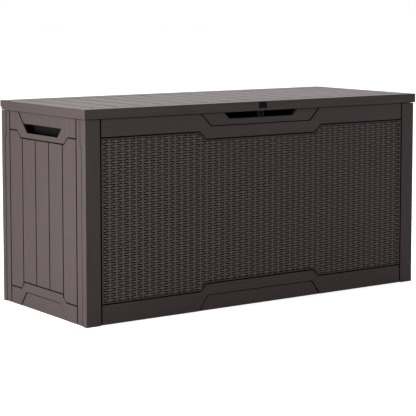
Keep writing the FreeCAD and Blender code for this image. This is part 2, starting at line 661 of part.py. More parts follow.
def lock_staple():
    """The matching tab that stands up from the inside of the front wall."""
    half = TAB_WIDTH / 2
    wall_face = FRONT_Y + TONGUE_IN
    foot = PULL_FOOT + SLIT
    pieces = [
        block(-18, 18, wall_face, wall_face + TAB_THICK, 490.0, foot + TAB_THICK),
        block(-half, half, STAPLE_Y, wall_face + TAB_THICK, foot, foot + TAB_THICK),
        block(-half, half, STAPLE_Y, STAPLE_Y + TAB_THICK, foot, WALL_TOP - 0.5),
    ]
    tools = [rod(Vector(0, STAPLE_Y - 1, LOCK_Z), Y_AXIS, LOCK_HOLE_R, TAB_THICK + 2)]
    tools += [pilot(seat, way, 6.0, HOLE_R) for seat, way in staple_screw_seats()]
    return cut(join(pieces), tools)


def staple_screw_seats():
    seat_y = FRONT_Y + TONGUE_IN + TAB_THICK
    return [(Vector(x, seat_y, 500.0), Vector(0, -1, 0)) for x in (-11.0, 11.0)]


# ---------------------------------------------------------------- gas struts
def on_circle(angle):
    """The point of the pivot circle at this angle from +Y towards +Z, in the plane of a strut."""
    turn = math.radians(angle)
    return Vector(0, HINGE_Y + STRUT_ARM * math.cos(turn), HINGE_Z + STRUT_ARM * math.sin(turn))


LID_PIVOT_ANGLE = 180 + math.degrees(math.asin(STRUT_LID_DROP / STRUT_ARM))
STRUT_HEAD = on_circle(LID_PIVOT_ANGLE)
STRUT_FOOT = on_circle(LID_PIVOT_ANGLE + STRUT_CLOSED_ANGLE)
STRUT_WAY = (STRUT_HEAD - STRUT_FOOT).normalize()


def strut_point(pivot, way, distance):
    """A point on the left strut's line, this far from a pivot."""
    return Vector(-STRUT_X, pivot.y, pivot.z) + way * distance


def socket(pivot, way, neck_end, bore_r, bore_start):
    """A strut's end fitting: a ring round the stud and a neck bored for the rod or the tube's spigot."""
    ring = rod(Vector(-STRUT_X - SOCKET_WIDTH / 2, pivot.y, pivot.z), X_AXIS, SOCKET_R, SOCKET_WIDTH)
    neck = rod(strut_point(pivot, way, 0), way, 4.8, neck_end)
    hole = rod(Vector(-STRUT_X - SOCKET_WIDTH, pivot.y, pivot.z), X_AXIS, STUD_R + RUNNING_FIT,
               2 * SOCKET_WIDTH)
    bore = rod(strut_point(pivot, way, bore_start), way, bore_r, neck_end)
    return join([ring, neck]).cut(hole).cut(bore)


def lower_socket():
    return socket(STRUT_FOOT, STRUT_WAY, 22.0, ROD_R, ROD_START)


def upper_socket():
    return socket(STRUT_HEAD, STRUT_WAY * -1, TUBE_START, ROD_R, ROD_START)


def strut_rod():
    return rod(strut_point(STRUT_FOOT, STRUT_WAY, ROD_START), STRUT_WAY, ROD_R, ROD_END - ROD_START)


def strut_piston():
    start = strut_point(STRUT_FOOT, STRUT_WAY, ROD_END)
    piston = rod(start, STRUT_WAY, TUBE_BORE - 0.1, PISTON_LENGTH)
    seal = rod(start + STRUT_WAY * (PISTON_LENGTH / 2 - 1), STRUT_WAY, TUBE_BORE, 2)
    groove = seal.cut(rod(start, STRUT_WAY, TUBE_BORE - 1, PISTON_LENGTH))
    return piston.cut(groove)


def strut_tube():
    way = STRUT_WAY * -1
    start = strut_point(STRUT_HEAD, way, TUBE_START)
    tube = rod(start, way, TUBE_R, TUBE_LENGTH)
    bore = rod(start + way * 3, way, TUBE_BORE, TUBE_LENGTH)
    spigot = rod(strut_point(STRUT_HEAD, way, ROD_START), way, ROD_R, TUBE_START - ROD_START + 1)
    return join([tube, spigot]).cut(bore)


def strut_gland():
    """The seal and guide in the open end of the tube."""
    way = STRUT_WAY * -1
    start = strut_point(STRUT_HEAD, way, TUBE_START + TUBE_LENGTH - GLAND_LENGTH)
    body = rod(start, way, TUBE_BORE, GLAND_LENGTH)
    cap = rod(start + way * GLAND_LENGTH, way, TUBE_R, 2)
    return join([body, cap]).cut(rod(start - way, way, ROD_R + RUNNING_FIT, GLAND_LENGTH + 5))


def wall_stud():
    """The pin on the side wall that the lower end of a strut turns on."""
    start = -END_X + TONGUE_IN + TAB_THICK
    end = -STRUT_X + SOCKET_WIDTH / 2 + 0.3
    pin = rod(Vector(start, STRUT_FOOT.y, STRUT_FOOT.z), X_AXIS, STUD_R, end - start)
    clip = rod(Vector(end, STRUT_FOOT.y, STRUT_FOOT.z), X_AXIS, STUD_R + 2, 1.5)
    return join([pin, clip])


def wall_bracket():
    face = -END_X + TONGUE_IN
    end = -STRUT_X - SOCKET_WIDTH / 2 - 0.5
    plate = block(face, face + TAB_THICK, STRUT_FOOT.y - 28, STRUT_FOOT.y + 8, STRUT_FOOT.z - 22,
                  STRUT_FOOT.z + 22)
    collar = Part.makeCone(7.5, 6.5, end - face, Vector(face, STRUT_FOOT.y, STRUT_FOOT.z), X_AXIS)
    gusset = block(face, end - 4, STRUT_FOOT.y - 16, STRUT_FOOT.y, STRUT_FOOT.z - 1.5, STRUT_FOOT.z + 1.5)
    hole = rod(Vector(face + TAB_THICK, STRUT_FOOT.y, STRUT_FOOT.z), X_AXIS, STUD_R, 60)
    tools = [hole] + [pilot(seat, way, 6.0, HOLE_R) for seat, way in wall_bracket_screw_seats()]
    return cut(join([plate, collar, gusset]), tools)


def wall_bracket_screw_seats():
    x = -END_X + TONGUE_IN + TAB_THICK
    return [(Vector(x, STRUT_FOOT.y - 20, STRUT_FOOT.z + dz), Vector(-1, 0, 0)) for dz in (-14.0, 14.0)]


def lid_stud():
    """The pin under the lid that the upper end of a strut turns on."""
    start = -STRUT_X - SOCKET_WIDTH / 2 - 0.3
    end = -STRUT_X + SOCKET_WIDTH / 2 + 3 + TAB_THICK
    pin = rod(Vector(start, STRUT_HEAD.y, STRUT_HEAD.z), X_AXIS, STUD_R, end - start)
    clip = rod(Vector(start - 1.5, STRUT_HEAD.y, STRUT_HEAD.z), X_AXIS, STUD_R + 2, 1.5)
    return join([pin, clip])


def lid_bracket():
    ear_x = -STRUT_X + SOCKET_WIDTH / 2 + 3
    top = LINER_BOTTOM - 0.2
    ear = block(ear_x, ear_x + TAB_THICK, STRUT_HEAD.y - 9, STRUT_HEAD.y + 9, STRUT_HEAD.z - 8, top)
    plate = block(ear_x, ear_x + 26, STRUT_HEAD.y - 18, STRUT_HEAD.y + 18, top - LEAF_THICK, top)
    hole = rod(Vector(ear_x - 1, STRUT_HEAD.y, STRUT_HEAD.z), X_AXIS, STUD_R, TAB_THICK + 2)
    tools = [hole] + [pilot(seat, way, 6.0, HOLE_R) for seat, way in lid_bracket_screw_seats() if seat.x < 0]
    return cut(join([ear, plate]), tools)


def lid_bracket_screw_seats():
    x = STRUT_X - SOCKET_WIDTH / 2 - 3 - 17
    return [(Vector(sign * x, STRUT_HEAD.y + dy, LINER_BOTTOM - 0.2 - LEAF_THICK), Vector(0, 0, 1))
            for sign in (-1, 1) for dy in (-11.0, 11.0)]


# ---------------------------------------------------------------- all pieces
def screws(seats, length):
    return [screw(seat, way, length) for seat, way in seats]


def both_sides(shapes):
    return shapes + [mirror_x(shape) for shape in shapes]


os.makedirs("parts", exist_ok=True)

post = corner_post()
post_holes = [pilot(seat, way, 5.0, HOLE_R) for seat, way in corner_screw_seats()]
save("post_front_left", cut(post, post_holes))
save("post_front_right", cut(mirror_x(post), post_holes))
save("post_rear_left", cut(mirror_y(post), post_holes))
save("post_rear_right", cut(mirror_x(mirror_y(post)), post_holes))
save("front_panel", front_panel())
save("back_panel", back_panel())
save("corner_screws", screws(corner_screw_seats(), 13.0))
save("floor_left", floor_half(-1))
save("floor_right", floor_half(1))
save("floor_screws", screws(floor_screw_seats(), 3.9))
save("lid_shell", lid_shell())
save("lid_liner", lid_liner())
save("lid_screws", screws(liner_screw_seats(), 15.0))
save("badge_plate", badge_plate())
save("lid_hasp", hasp())
save("hasp_screws", [screw(seat, way, 6.5, 3.4) for seat, way in hasp_screw_seats()])
save("lock_staple", lock_staple())
save("staple_screws", screws(staple_screw_seats(), 11.0))

for name, x in zip(("left", "middle", "right"), HINGE_X):
    save("hinge_bracket_" + name, hinge_bracket(x))
    save("lid_hinge_leaf_" + name, lid_hinge_leaf(x))
    save("hinge_pin_" + name, hinge_pin(x))
save("hinge_bracket_screws", screws(hinge_bracket_screw_seats(), 11.0))
save("lid_hinge_screws", screws(lid_leaf_screw_seats(), 6.5))

SIDE_PIECES = {
    "side_panel": side_panel,
    "handle_cup": handle_cup,
    "strut_rod": strut_rod,
    "strut_piston": strut_piston,
    "strut_lower_socket": lower_socket,
    "strut_tube": strut_tube,
    "strut_gland": strut_gland,
    "strut_upper_socket": upper_socket,
    "strut_wall_bracket": wall_bracket,
    "strut_wall_stud": wall_stud,
    "strut_lid_bracket": lid_bracket,
    "strut_lid_stud": lid_stud,
}
for name, make in SIDE_PIECES.items():
    piece = make()
    save(name + "_left", piece)
    save(name + "_right", mirror_x(piece))
save("cup_screws", both_sides(screws(cup_screw_seats(), 7.5)))
save("wall_bracket_screws", both_sides(screws(wall_bracket_screw_seats(), 12.0)))
save("lid_bracket_screws", screws(lid_bracket_screw_seats(), 6.5))
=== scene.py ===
import json
import math

import bmesh
import bpy
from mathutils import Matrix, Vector
from mathutils.bvhtree import BVHTree

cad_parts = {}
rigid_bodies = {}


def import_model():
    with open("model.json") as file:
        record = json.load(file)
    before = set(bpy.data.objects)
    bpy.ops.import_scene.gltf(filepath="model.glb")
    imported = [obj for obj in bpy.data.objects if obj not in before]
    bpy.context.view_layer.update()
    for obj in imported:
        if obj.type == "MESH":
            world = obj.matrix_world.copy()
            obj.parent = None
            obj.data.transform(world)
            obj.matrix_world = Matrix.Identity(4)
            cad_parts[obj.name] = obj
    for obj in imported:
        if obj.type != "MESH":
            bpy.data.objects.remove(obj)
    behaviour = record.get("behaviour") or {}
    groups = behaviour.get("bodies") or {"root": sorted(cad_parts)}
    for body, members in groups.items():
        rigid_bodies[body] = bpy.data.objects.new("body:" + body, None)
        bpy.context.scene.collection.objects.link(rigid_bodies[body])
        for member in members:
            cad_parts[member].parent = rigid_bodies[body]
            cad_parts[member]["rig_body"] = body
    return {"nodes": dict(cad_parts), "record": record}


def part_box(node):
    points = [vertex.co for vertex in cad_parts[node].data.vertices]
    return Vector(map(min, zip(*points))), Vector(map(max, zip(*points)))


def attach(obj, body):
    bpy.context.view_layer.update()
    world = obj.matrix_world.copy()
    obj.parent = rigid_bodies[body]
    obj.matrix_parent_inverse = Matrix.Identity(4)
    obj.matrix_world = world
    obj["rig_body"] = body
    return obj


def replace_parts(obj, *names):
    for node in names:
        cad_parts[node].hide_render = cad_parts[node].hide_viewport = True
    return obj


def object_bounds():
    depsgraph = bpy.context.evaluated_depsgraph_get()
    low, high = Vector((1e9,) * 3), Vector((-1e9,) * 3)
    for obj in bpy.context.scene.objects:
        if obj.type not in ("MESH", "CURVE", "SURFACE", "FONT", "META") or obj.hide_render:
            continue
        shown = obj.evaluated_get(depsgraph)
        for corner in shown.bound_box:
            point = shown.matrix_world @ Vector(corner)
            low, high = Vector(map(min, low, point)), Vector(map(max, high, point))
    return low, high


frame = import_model()
cad_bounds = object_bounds()

# Deck storage box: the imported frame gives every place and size.  Metres, +Z up, -Y is the front.
MM = 0.001

# ---------------------------------------------------------------- camera, as the object is seen
CAMERA_AT = Vector((-2.5571, -3.5723, 0.8593))
CAMERA_YAW = math.radians(35.342)
CAMERA_PITCH = math.radians(5.412)
CAMERA_LENS = 129.77
CAMERA_SHIFT = -0.16

# ---------------------------------------------------------------- weave of the front
BAR_PITCH = 20.9 * MM
ROW_PITCH = 6.94 * MM
BAR_WIDTH = 5.4 * MM
BAR_FRONT = 1.7 * MM            # depth of a bar's front behind the face of the panel
BAR_HEIGHT = 1.3 * MM
STRAND_WIDTH = (2.6 * MM, 7.0 * MM)   # behind a bar and over it
STRAND_HEIGHT = (0.8 * MM, 2.3 * MM)
STRAND_DIP = 2.1 * MM
STRAND_FULLNESS = 1.2           # above 1 the narrow part of a strand is longer than its wide part
STRAND_STEPS = 8                # samples from one bar to the next
STRAND_SIDES = 6
STRAND_GROUPS = 4
PROBE_STEP = 0.5 * MM
PROBE_START = 10.0 * MM         # how far in front of the panel a probe starts, and how long it is
PROBE_LENGTH = 16.0 * MM
NEAR_END = 0.9                  # share of the half length where the field has its full height

# ---------------------------------------------------------------- lid
RAIL_WIDTH = 55.0 * MM          # the rails along the front and rear edges of the lid

# ---------------------------------------------------------------- seams beside the side panels
SKIN_EDGE = (204.5 * MM, 211.5 * MM)  # the skin's edges lie between these, from the panel's middle
SEAM_EXTRA = 1.6 * MM

# ---------------------------------------------------------------- grooves and gaps given painted shade, by depth behind a face
FIELD_DEPTH = (2.9 * MM, 3.1 * MM)
GROOVE_FLOORS = (2.0 * MM, 3.6 * MM)
GROOVE_WALLS = (1.2 * MM, 2.3 * MM)
GROOVE_WALL_REACH = 3.4 * MM
RAIN_LIP_DEPTH = 3.1 * MM       # the inner rim of a wall, seen through the gap under the lid
HAND_RECESS_FOOT = 500 * MM     # the floor of the hand recess, above this height, stays light
FACES_OUT = 0.9                 # cosines to the outward direction, of a floor and of a wall
FACES_ALONG = 0.1

# ---------------------------------------------------------------- moulded edges
EDGE_RADIUS = 0.6 * MM
THIN_EDGE_RADIUS = 0.4 * MM
EDGE_ANGLE = math.radians(40)
SHORTEST_EDGE = 2.2 * MM        # shorter edges stay sharp
MERGE_DISTANCE = 0.002 * MM
FLAT_ANGLE = math.radians(1.0)
NORMAL_WEIGHT = 80

# ---------------------------------------------------------------- floor and light
FLOOR_REACH = 30.0
FLOOR_GAP = 0.2 * MM
FLOOR_GLOW = 0.75               # brings the pale floor up to the white behind it
FRONT_LIGHT = 0.25              # strength of the surroundings, towards the front and towards the rear
REAR_LIGHT = 1.1
LIGHT_SPREAD = 0.6
LAMPS = (                       # name, place, target, size, power
    ("key", (-1.85, -0.3, 0.33), (-0.58, -0.05, 0.3), (0.9, 0.6), 24.0),
    ("top", (0.2, 0.8, 2.6), (0.0, 0.0, 0.5), (2.0, 1.4), 52.0),
    ("fill", (1.8, -2.6, 0.4), (0.4, -0.23, 0.2), (1.2, 1.0), 7.0),
)


# ---------------------------------------------------------------- shader helpers
class Nodes:
    """Short calls that wire one material's node tree."""

    def __init__(self, name):
        self.material = bpy.data.materials.new(name)
        self.material.use_nodes = True
        self.tree = self.material.node_tree
        self.shader = self.tree.nodes["Principled BSDF"]
        self.place = self.add("ShaderNodeTexCoord").outputs["Object"]

    def link(self, value, socket):
        if isinstance(value, bpy.types.NodeSocket):
            self.tree.links.new(value, socket)
        else:
            socket.default_value = value

    def add(self, kind, **inputs):
        node = self.tree.nodes.new(kind)
        for name, value in inputs.items():
            self.link(value, node.inputs[name.replace("_", " ")])
        return node

    def shade(self, **inputs):
        for name, value in inputs.items():
            self.link(value, self.shader.inputs[name.replace("_", " ")])

    def noise(self, scale, detail=3.0, roughness=0.55, distortion=0.0):
        """Noise that is stretched by a scale for each axis, in features per metre."""
        mapping = self.add("ShaderNodeMapping", Vector=self.place, Scale=scale)
        node = self.add("ShaderNodeTexNoise", Vector=mapping.outputs["Vector"], Scale=1.0, Detail=detail,
                        Roughness=roughness, Distortion=distortion)
        return node.outputs["Fac"]

    def fit(self, value, low, high, to_low, to_high):
        node = self.add("ShaderNodeMapRange", Value=value)
        for name, number in (("From Min", low), ("From Max", high), ("To Min", to_low), ("To Max", to_high)):
            node.inputs[name].default_value = number
        return node.outputs["Result"]

    def math(self, operation, a, b):
        node = self.tree.nodes.new("ShaderNodeMath")
        node.operation = operation
        self.link(a, node.inputs[0])
        self.link(b, node.inputs[1])
        return node.outputs["Value"]

    def mix(self, factor, a, b):
        node = self.tree.nodes.new("ShaderNodeMix")
        node.data_type = "RGBA"
        self.link(factor, node.inputs[0])
        self.link(a, node.inputs[6])
        self.link(b, node.inputs[7])
        return node.outputs[2]

    def blend(self, factor, a, b):
        node = self.tree.nodes.new("ShaderNodeMix")
        self.link(factor, node.inputs[0])
        self.link(a, node.inputs[2])
        self.link(b, node.inputs[3])
        return node.outputs[0]

    def bump(self, height, distance, strength=1.0):
        node = self.add("ShaderNodeBump", Height=height, Distance=distance, Strength=strength)
        self.shade(Normal=node.outputs["Normal"])


def rgb(red, green, blue):
    return (red, green, blue, 1.0)


# ---------------------------------------------------------------- materials
RESIN = rgb(0.068, 0.050, 0.051)
RESIN_LIGHT = rgb(0.086, 0.063, 0.064)
# A lighter resin for the rounded edges: a painted highlight.
RESIN_EDGE_HIGHLIGHT = rgb(0.130, 0.103, 0.104)
RESIN_GLOSS = 0.28
# The weave is the outer resin painted lighter: a painted highlight on the strands and bars.
HIGHLIT_WEAVE = rgb(0.115, 0.088, 0.088)
HIGHLIT_WEAVE_STREAK = rgb(0.155, 0.121, 0.121)
ALONG = {"x": (5.0, 420.0, 420.0), "y": (420.0, 5.0, 420.0), "z": (420.0, 420.0, 5.0)}


def finish_resin(nodes, streaks, roughness=(0.42, 0.58), colors=(RESIN, RESIN_LIGHT)):
    """The colour, sheen and grain that all outer resin shares, from a map of streaks, with a painted
    highlight on the rounded edges.
    """
    cloud = nodes.noise((2.0, 2.0, 2.0), 0.0)
    tone = nodes.math("MULTIPLY", streaks, 0.9)
    tone = nodes.math("ADD", tone, nodes.math("MULTIPLY", cloud, 0.1))
    color = nodes.mix(nodes.fit(tone, 0.3, 0.7, 0.0, 1.0), colors[0], colors[1])
    edge = nodes.add("ShaderNodeAttribute")
    edge.attribute_name = "edge"
    # The rounded edges get a painted highlight, broken up by noise.
    edge_highlight_mottle = nodes.fit(nodes.noise((60.0, 60.0, 60.0), 4.0), 0.4, 0.7, 0.1, 0.8)
    color = nodes.mix(nodes.math("MULTIPLY", edge.outputs["Fac"], edge_highlight_mottle), color, RESIN_EDGE_HIGHLIGHT)
    pores = nodes.noise((1500.0, 1500.0, 1500.0), 1.0)
    height = nodes.math("ADD", streaks, nodes.math("MULTIPLY", pores, 0.25))
    nodes.shade(Base_Color=color, Roughness=nodes.fit(tone, 0.3, 0.7, roughness[1], roughness[0]),
                Specular_IOR_Level=RESIN_GLOSS)
    nodes.bump(height, 0.22 * MM, 0.8)
    return nodes.material


def grained_resin(name, axis):
    nodes = Nodes(name)
    return finish_resin(nodes, nodes.noise(ALONG[axis], 5.0, 0.6, 0.35))


def lid_resin(name, board_y):
    """Grain runs along Y on the boards between the two rails, and along X on the rails and the skirt."""
    nodes = Nodes(name)
    spread = nodes.add("ShaderNodeSeparateXYZ", Vector=nodes.place)
    distance = nodes.math("ABSOLUTE", spread.outputs["Y"], 0.0)
    on_rail = nodes.math("GREATER_THAN", distance, board_y)
    boards = nodes.noise(ALONG["y"], 5.0, 0.6, 0.35)
    rails = nodes.noise(ALONG["x"], 5.0, 0.6, 0.35)
    return finish_resin(nodes, nodes.blend(on_rail, boards, rails))


def woven_resin(name):
    """Fine fibre lines along the strands, on resin painted lighter as a highlight."""
    nodes = Nodes(name)
    fibres = nodes.noise((40.0, 900.0, 1600.0), 3.0)
    return finish_resin(nodes, fibres, (0.4, 0.55), (HIGHLIT_WEAVE, HIGHLIT_WEAVE_STREAK))


def painted_shade_resin(name):
    """Painted shade for the depths of grooves, gaps and hand holes: dull and near black, mottled by noise."""
    nodes = Nodes(name)
    # Noise that mottles the painted shade.
    shade_mottle = nodes.noise((300.0, 300.0, 300.0), 3.0)
    nodes.shade(Base_Color=nodes.mix(shade_mottle, rgb(0.003, 0.0025, 0.0025), rgb(0.008, 0.006, 0.006)),
                Roughness=nodes.fit(shade_mottle, 0.3, 0.7, 0.8, 0.95), Specular_IOR_Level=0.15)
    nodes.bump(shade_mottle, 0.1 * MM)
    return nodes.material


def inner_resin(name):
    """Unpolished inner mouldings with a fine pebble."""
    nodes = Nodes(name)
    pebble = nodes.noise((700.0, 700.0, 700.0), 2.0)
    cloud = nodes.noise((8.0, 8.0, 8.0), 3.0)
    nodes.shade(Base_Color=nodes.mix(cloud, rgb(0.030, 0.025, 0.024), rgb(0.045, 0.037, 0.036)),
                Roughness=nodes.fit(cloud, 0.3, 0.7, 0.6, 0.75))
    nodes.bump(pebble, 0.15 * MM)
    return nodes.material


def zinc(name):
    nodes = Nodes(name)
    crystals = nodes.add("ShaderNodeTexVoronoi", Vector=nodes.place, Scale=260.0).outputs["Distance"]
    brush = nodes.noise((60.0, 1400.0, 1400.0), 4.0)
    nodes.shade(Base_Color=nodes.mix(crystals, rgb(0.42, 0.42, 0.41), rgb(0.62, 0.62, 0.60)), Metallic=1.0,
                Roughness=nodes.fit(brush, 0.3, 0.7, 0.3, 0.45))
    nodes.bump(brush, 0.03 * MM)
    return nodes.material


def chrome(name):
    nodes = Nodes(name)
    grind = nodes.noise((30.0, 30.0, 2500.0), 2.0)
    nodes.shade(Base_Color=nodes.mix(grind, rgb(0.58, 0.58, 0.59), rgb(0.68, 0.68, 0.69)), Metallic=1.0,
                Roughness=nodes.fit(grind, 0.3, 0.7, 0.08, 0.16))
    nodes.bump(grind, 0.01 * MM)
    return nodes.material


def black_paint(name):
    nodes = Nodes(name)
    peel = nodes.noise((450.0, 450.0, 450.0), 2.0)
    nodes.shade(Base_Color=nodes.mix(peel, rgb(0.018, 0.018, 0.019), rgb(0.028, 0.028, 0.03)),
                Roughness=nodes.fit(peel, 0.3, 0.7, 0.3, 0.4), Coat_Weight=0.2)
    nodes.bump(peel, 0.04 * MM)
    return nodes.material


def powder_coat(name):
    nodes = Nodes(name)
    peel = nodes.noise((600.0, 600.0, 600.0), 2.0)
    nodes.shade(Base_Color=nodes.mix(peel, rgb(0.008, 0.008, 0.008), rgb(0.014, 0.014, 0.014)),
                Roughness=nodes.fit(peel, 0.3, 0.7, 0.55, 0.7), Specular_IOR_Level=0.15)
    nodes.bump(peel, 0.05 * MM)
    return nodes.material


def nylon(name):
    nodes = Nodes(name)
    flow = nodes.noise((200.0, 200.0, 200.0), 3.0)
    nodes.shade(Base_Color=nodes.mix(flow, rgb(0.022, 0.022, 0.022), rgb(0.035, 0.035, 0.035)),
                Roughness=nodes.fit(flow, 0.3, 0.7, 0.5, 0.65))
    nodes.bump(flow, 0.06 * MM)
    return nodes.material


def badge_finish(name):
    nodes = Nodes(name)
    satin = nodes.noise((900.0, 900.0, 900.0), 2.0)
    nodes.shade(Base_Color=nodes.mix(satin, rgb(0.003, 0.0026, 0.0026), rgb(0.006, 0.005, 0.005)),
                Roughness=nodes.fit(satin, 0.3, 0.7, 0.5, 0.6), Specular_IOR_Level=0.12)
    nodes.bump(satin, 0.02 * MM)
    return nodes.material


# ---------------------------------------------------------------- mesh helpers
def new_piece(name, bm, material, body):
    mesh = bpy.data.meshes.new(name)
    bm.to_mesh(mesh)
    bm.free()
    mesh.materials.append(material)
    piece = bpy.data.objects.new(name, mesh)
    bpy.context.scene.collection.objects.link(piece)
    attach(piece, body)
    return piece


def shade_smooth(piece):
    for polygon in piece.data.polygons:
        polygon.use_smooth = True
    modifier = piece.modifiers.new("normals", "WEIGHTED_NORMAL")
    modifier.weight = NORMAL_WEIGHT
    modifier.keep_sharp = True


def pull_in_skin(bm, outward):
    """Move the upright edges of a side panel's skin away from the posts, which widens the seams there."""
    ends = [vertex.co.y for vertex in bm.verts]
    middle = (min(ends) + max(ends)) / 2
    face = max(vertex.co.dot(outward) for vertex in bm.verts)
    for vertex in bm.verts:
        offset = vertex.co.y - middle
        in_skin = face - vertex.co.dot(outward) < GROOVE_WALL_REACH
        if in_skin and SKIN_EDGE[0] < abs(offset) < SKIN_EDGE[1]:
            vertex.co.y -= math.copysign(SEAM_EXTRA, offset)


def moulded(node, material, radius=EDGE_RADIUS, reshape=None):
    """A copy of a CAD node whose outer edges are rounded as a mould rounds them."""
    source = frame["nodes"][node]
    bm = bmesh.new()
    bm.from_mesh(source.data)
    bmesh.ops.remove_doubles(bm, verts=bm.verts, dist=MERGE_DISTANCE)
    bmesh.ops.dissolve_limit(bm, angle_limit=FLAT_ANGLE, verts=bm.verts, edges=bm.edges)
    if reshape:
        reshape(bm)
    # Marks the rounded faces, which the resin gives a painted highlight.
    layer = bm.faces.layers.float.new("edge")
    edges = [edge for edge in bm.edges
             if len(edge.link_faces) == 2 and edge.is_convex and edge.calc_face_angle() > EDGE_ANGLE
             and edge.calc_length() > SHORTEST_EDGE]
    made = bmesh.ops.bevel(bm, geom=edges, offset=radius, offset_type="OFFSET", segments=2, profile=0.5,
                           affect="EDGES", clamp_overlap=False)
    for face in made["faces"]:
        face[layer] = 1.0
    for edge in bm.edges:
        edge.smooth = len(edge.link_faces) != 2 or edge.calc_face_angle() < EDGE_ANGLE
    piece = new_piece(node + "_moulding", bm, material, source["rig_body"])
    shade_smooth(piece)
    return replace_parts(piece, node)


# ---------------------------------------------------------------- weave
class Field:
    """The sunk field of the front panel, found by looking at the panel from the front."""

    def __init__(self, node):
        mesh = frame["nodes"][node].data
        points = [vertex.co for vertex in mesh.vertices]
        self.tree = BVHTree.FromPolygons(points, [polygon.vertices[:] for polygon in mesh.polygons])
        self.low, self.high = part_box(node)
        self.face = self.low.y

    def inside(self, x, z):
        start = Vector((x, self.face - PROBE_START, z))
        hit = self.tree.ray_cast(start, Vector((0, 1, 0)), PROBE_LENGTH)[0]
        return hit is not None and FIELD_DEPTH[0] < hit.y - self.face < FIELD_DEPTH[1]

    @staticmethod
    def spans(points, probe, shortest):
        """The stretches of a list of points along which the probe says inside, but no short ones."""
        found = []
        start = None
        for point in points:
            if probe(point):
                start = point if start is None else start
                end = point
            elif start is not None:
                found.append((start, end))
                start = None
        if start is not None:
            found.append((start, end))
        return [(start, end) for start, end in found if end - start > shortest]


def stepped(low, high, step):
    return [low + i * step for i in range(int((high - low) / step) + 1)]


def half_tube(bm, sections):
    """A closed strip through the sections, each a list of points round the strand."""
    rings = [[bm.verts.new(point) for point in section] for section in sections]
    count = len(rings[0])
    for ring, following in zip(rings, rings[1:]):
        for i in range(count):
            j = (i + 1) % count
            bm.faces.new((ring[i], following[i], following[j], ring[j]))
    bm.faces.new(rings[0])
    bm.faces.new(list(reversed(rings[-1])))


def half_round(width, height):
    """Offsets (across, back) of a half-round section, its crest first in depth."""
    angles = [math.pi * i / STRAND_SIDES for i in range(STRAND_SIDES + 1)]
    return [(-width / 2 * math.cos(a), height * (1 - math.sin(a))) for a in angles]


def strand_section(x, z, row, face):
    phase = math.cos(math.pi * (x / BAR_PITCH + row))
    over = ((1 + phase) / 2) ** STRAND_FULLNESS
    width = STRAND_WIDTH[0] + (STRAND_WIDTH[1] - STRAND_WIDTH[0]) * over
    height = STRAND_HEIGHT[0] + (STRAND_HEIGHT[1] - STRAND_HEIGHT[0]) * over
    depth = STRAND_DIP * (1 - over)
    return [Vector((x, face + depth + back, z + across)) for across, back in half_round(width, height)]


def weave(field, material):
    margin = STRAND_WIDTH[1] / 4
    heights = stepped(field.low.z, field.high.z, PROBE_STEP)
    inside = [z for z in heights if field.inside(NEAR_END * field.high.x, z)]
    foot, top = inside[0], inside[-1]
    count = int((top - foot) / ROW_PITCH)
    first = (foot + top - (count - 1) * ROW_PITCH) / 2
    across = stepped(field.low.x, field.high.x, PROBE_STEP)
    rows = []
    for row in range(count):
        z = first + row * ROW_PITCH
        rows += [(row, z, a, b) for a, b in field.spans(
            across, lambda x: field.inside(x, z - margin) and field.inside(x, z + margin), BAR_PITCH)]
    group = math.ceil(count / STRAND_GROUPS)
    for number in range(STRAND_GROUPS):
        bm = bmesh.new()
        for row, z, a, b in rows:
            if row // group == number:
                steps = max(2, round((b - a) / BAR_PITCH * STRAND_STEPS))
                half_tube(bm, [strand_section(a + (b - a) * i / steps, z, row, field.face)
                               for i in range(steps + 1)])
        bmesh.ops.recalc_face_normals(bm, faces=bm.faces)
        piece = new_piece(f"weave_strands_{number + 1}", bm, material, "box")
        shade_smooth(piece)


def bars(field, material):
    """The upright bars that the strands pass over and behind."""
    bm = bmesh.new()
    heights = stepped(field.low.z, field.high.z, PROBE_STEP)
    count = int(field.high.x / BAR_PITCH)
    section = half_round(BAR_WIDTH, BAR_HEIGHT)
    front = field.face + BAR_FRONT
    for k in range(-count, count + 1):
        x = k * BAR_PITCH
        for a, b in field.spans(heights, lambda z: field.inside(x, z), ROW_PITCH):
            half_tube(bm, [[Vector((x + across, front + back, z)) for across, back in section]
                           for z in (a, b)])
    bmesh.ops.recalc_face_normals(bm, faces=bm.faces)
    piece = new_piece("weave_bars", bm, material, "box")
    shade_smooth(piece)


# ---------------------------------------------------------------- grooves, given painted shade
def paint_groove_shade(piece, outward, material, spare_above=math.inf):
    """Paint shade into the grooves in one outer side of a piece with the near-black material, but no shallow
    floor above a height.
    """
    mesh = piece.data
    mesh.materials.append(material)
    depths = [-vertex.co.dot(outward) for vertex in mesh.vertices]
    face = min(depths)
    for polygon in mesh.polygons:
        reach = [depths[i] for i in polygon.vertices]
        depth = sum(reach) / len(reach) - face
        facing = polygon.normal.dot(outward)
        floor = facing > FACES_OUT and GROOVE_FLOORS[0] < depth < GROOVE_FLOORS[1]
        wall = (abs(facing) < FACES_ALONG and GROOVE_WALLS[0] < depth < GROOVE_WALLS[1]
                and max(reach) - face < GROOVE_WALL_REACH)
        if wall or floor and (depth > RAIN_LIP_DEPTH or polygon.center.z < spare_above):
            polygon.material_index = 1


# ---------------------------------------------------------------- the object
upright = grained_resin("resin_upright_grain", "z")
lengthwise = grained_resin("resin_lengthwise_grain", "x")
woven = woven_resin("resin_woven")
inner = inner_resin("resin_inner_pebble")
boarded = lid_resin("resin_lid_boards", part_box("lid_shell")[1].y - RAIL_WIDTH)
# The near-black painted shade for grooves, gaps and hand holes.
gap = painted_shade_resin("resin_painted_shade")

field = Field("front_panel")
weave(field, woven)
bars(field, woven)
front = moulded("front_panel", lengthwise)
